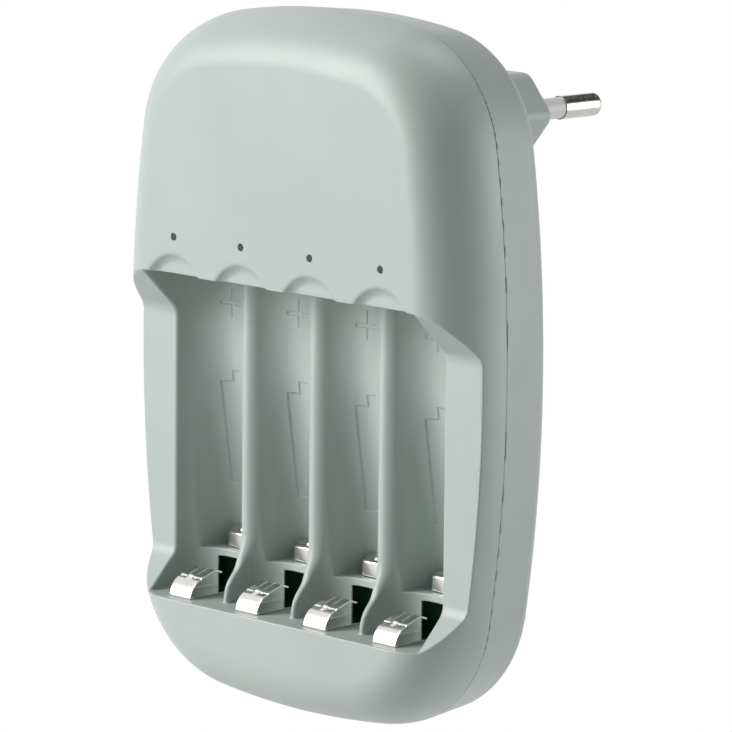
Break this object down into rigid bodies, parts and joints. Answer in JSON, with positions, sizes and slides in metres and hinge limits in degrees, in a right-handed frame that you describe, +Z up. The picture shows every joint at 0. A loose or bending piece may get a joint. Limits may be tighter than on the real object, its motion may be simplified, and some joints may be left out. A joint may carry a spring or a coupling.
{
  "type": "wall-plug battery charger",
  "caption": "Rounded wall-plug charger with a row of open cell bays, sprung nickel contacts, small indicator windows and a two-pin plug on its back.",
  "frame": {"origin": "centre of the plug's engagement face, between the two pins", "axes": "+Y along the pins into the wall socket, +Z up along the bays, +X across the row of bays; the bays open towards -Y"},
  "size_m": [0.0816, 0.066, 0.1172],
  "materials": {
    "housing_plastic": "fine satin moulded grain, sage grey",
    "contact_metal": "bright nickel-plated spring strip",
    "pin_metal": "polished nickel",
    "sleeve_plastic": "off-white satin",
    "strip_brass": "stamped brass",
    "light_guide": "dark smoked window",
    "charge_lamp": "diffuse green lamp",
    "circuit_board": "green solder mask",
    "ferrite": "matt ferrite",
    "winding_tape": "yellow tape",
    "capacitor_sleeve": "shrunk sleeve",
    "chip_plastic": "moulded black",
    "resistor_body": "tan lacquer"
  },
  "bodies": {
    "charger": {"front_housing": "housing_plastic", "rear_housing": "housing_plastic", "main_board": "circuit_board", "contact_board": "circuit_board", "plug_pin_left": "pin_metal", "plug_pin_right": "pin_metal", "pin_sleeve_left": "sleeve_plastic", "pin_sleeve_right": "sleeve_plastic", "pin_strip_left": "strip_brass", "pin_strip_right": "strip_brass", "positive_contact_1": "contact_metal", "positive_contact_2": "contact_metal", "positive_contact_3": "contact_metal", "positive_contact_4": "contact_metal", "light_guide_1": "light_guide", "light_guide_2": "light_guide", "light_guide_3": "light_guide", "light_guide_4": "light_guide", "charge_lamp_1": "charge_lamp", "charge_lamp_2": "charge_lamp", "charge_lamp_3": "charge_lamp", "charge_lamp_4": "charge_lamp", "transformer_core": "ferrite", "transformer_winding": "winding_tape", "mains_capacitor": "capacitor_sleeve", "output_capacitor": "capacitor_sleeve", "bridge_rectifier": "chip_plastic", "fuse_resistor": "resistor_body", "controller_chip": "chip_plastic"},
    "aa_spring_1": {"aa_contact_1": "contact_metal"},
    "aa_spring_2": {"aa_contact_2": "contact_metal"},
    "aa_spring_3": {"aa_contact_3": "contact_metal"},
    "aa_spring_4": {"aa_contact_4": "contact_metal"},
    "aaa_spring_1": {"aaa_contact_1": "contact_metal"},
    "aaa_spring_2": {"aaa_contact_2": "contact_metal"},
    "aaa_spring_3": {"aaa_contact_3": "contact_metal"},
    "aaa_spring_4": {"aaa_contact_4": "contact_metal"}
  },
  "joints": [
    {"name": "aa_spring_1_press", "type": "hinge", "parent": "charger", "child": "aa_spring_1", "pos_m": [-0.0243, -0.04465, -0.0812], "axis": [-1, 0, 0], "range_deg": [0, 10], "stiffness_Nm_per_rad": 0.07, "deforming": ["aa_contact_1"]},
    {"name": "aa_spring_2_press", "type": "hinge", "parent": "charger", "child": "aa_spring_2", "pos_m": [-0.0081, -0.04465, -0.0812], "axis": [-1, 0, 0], "range_deg": [0, 10], "stiffness_Nm_per_rad": 0.07, "deforming": ["aa_contact_2"]},
    {"name": "aa_spring_3_press", "type": "hinge", "parent": "charger", "child": "aa_spring_3", "pos_m": [0.0081, -0.04465, -0.0812], "axis": [-1, 0, 0], "range_deg": [0, 10], "stiffness_Nm_per_rad": 0.07, "deforming": ["aa_contact_3"]},
    {"name": "aa_spring_4_press", "type": "hinge", "parent": "charger", "child": "aa_spring_4", "pos_m": [0.0243, -0.04465, -0.0812], "axis": [-1, 0, 0], "range_deg": [0, 10], "stiffness_Nm_per_rad": 0.07, "deforming": ["aa_contact_4"]},
    {"name": "aaa_spring_1_press", "type": "hinge", "parent": "charger", "child": "aaa_spring_1", "pos_m": [-0.0243, -0.03155, -0.0746], "axis": [-1, 0, 0], "range_deg": [0, 10], "stiffness_Nm_per_rad": 0.07, "deforming": ["aaa_contact_1"]},
    {"name": "aaa_spring_2_press", "type": "hinge", "parent": "charger", "child": "aaa_spring_2", "pos_m": [-0.0081, -0.03155, -0.0746], "axis": [-1, 0, 0], "range_deg": [0, 10], "stiffness_Nm_per_rad": 0.07, "deforming": ["aaa_contact_2"]},
    {"name": "aaa_spring_3_press", "type": "hinge", "parent": "charger", "child": "aaa_spring_3", "pos_m": [0.0081, -0.03155, -0.0746], "axis": [-1, 0, 0], "range_deg": [0, 10], "stiffness_Nm_per_rad": 0.07, "deforming": ["aaa_contact_3"]},
    {"name": "aaa_spring_4_press", "type": "hinge", "parent": "charger", "child": "aaa_spring_4", "pos_m": [0.0243, -0.03155, -0.0746], "axis": [-1, 0, 0], "range_deg": [0, 10], "stiffness_Nm_per_rad": 0.07, "deforming": ["aaa_contact_4"]}
  ]
}
